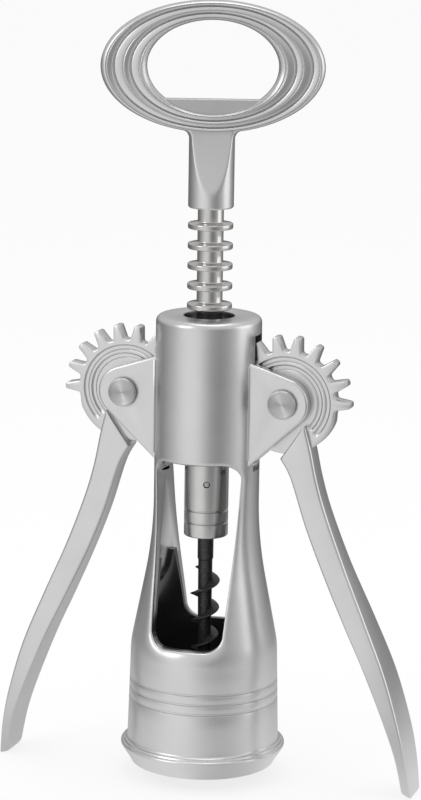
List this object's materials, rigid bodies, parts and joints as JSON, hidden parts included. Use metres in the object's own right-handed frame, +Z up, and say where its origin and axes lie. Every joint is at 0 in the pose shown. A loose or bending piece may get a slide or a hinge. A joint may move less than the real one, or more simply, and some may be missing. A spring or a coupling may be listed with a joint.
{
  "type": "wing corkscrew",
  "caption": "Wing corkscrew with geared side levers, a ringed shaft, an auger worm in an open bell, and a ribbed ring handle with a cap lifter.",
  "frame": {"origin": "centre of the bell mouth, in the plane of its rim", "axes": "+Z up the shaft to the handle, +X towards the right lever, -Y the front with the window and the visible pin heads"},
  "size_m": [0.104, 0.0394, 0.1852],
  "materials": {
    "satin_nickel": "satin nickel plate on a zinc casting",
    "turned_steel": "turned and bright nickel plated",
    "spun_steel": "spun finish on a riveted head",
    "black_coated_steel": "thin dark non-stick coating",
    "black_plastic": "moulded black plastic, glossy"
  },
  "bodies": {
    "housing": {"housing": "satin_nickel", "bell_liner": "black_plastic", "left_pivot_pin": "spun_steel", "right_pivot_pin": "spun_steel"},
    "left_lever": {"left_lever": "satin_nickel"},
    "right_lever": {"right_lever": "satin_nickel"},
    "shaft": {"rack_shaft": "turned_steel"},
    "screw": {"handle": "satin_nickel", "spindle": "turned_steel", "worm_holder": "turned_steel", "worm_cross_pin": "spun_steel", "worm": "black_coated_steel"}
  },
  "joints": [
    {"name": "left_lever_hinge", "type": "hinge", "parent": "housing", "child": "left_lever", "pos_m": [-0.0197, 0, 0.0897], "axis": [0, 1, 0], "range_deg": [-12, 130]},
    {"name": "right_lever_hinge", "type": "hinge", "parent": "housing", "child": "right_lever", "pos_m": [0.0197, 0, 0.0897], "axis": [0, -1, 0], "range_deg": [-12, 130]},
    {"name": "shaft_slide", "type": "slide", "parent": "housing", "child": "shaft", "axis": [0, 0, 1], "range_m": [-0.0309, 0.0029]},
    {"name": "handle_spin", "type": "hinge", "parent": "shaft", "child": "screw", "pos_m": [0, 0, 0.1343], "axis": [0, 0, 1], "continuous": true}
  ],
  "couplings": [
    {"joint": "right_lever_hinge", "follows": "left_lever_hinge", "ratio": 1},
    {"joint": "shaft_slide", "follows": "left_lever_hinge", "m_per_rad": -0.013588}
  ]
}
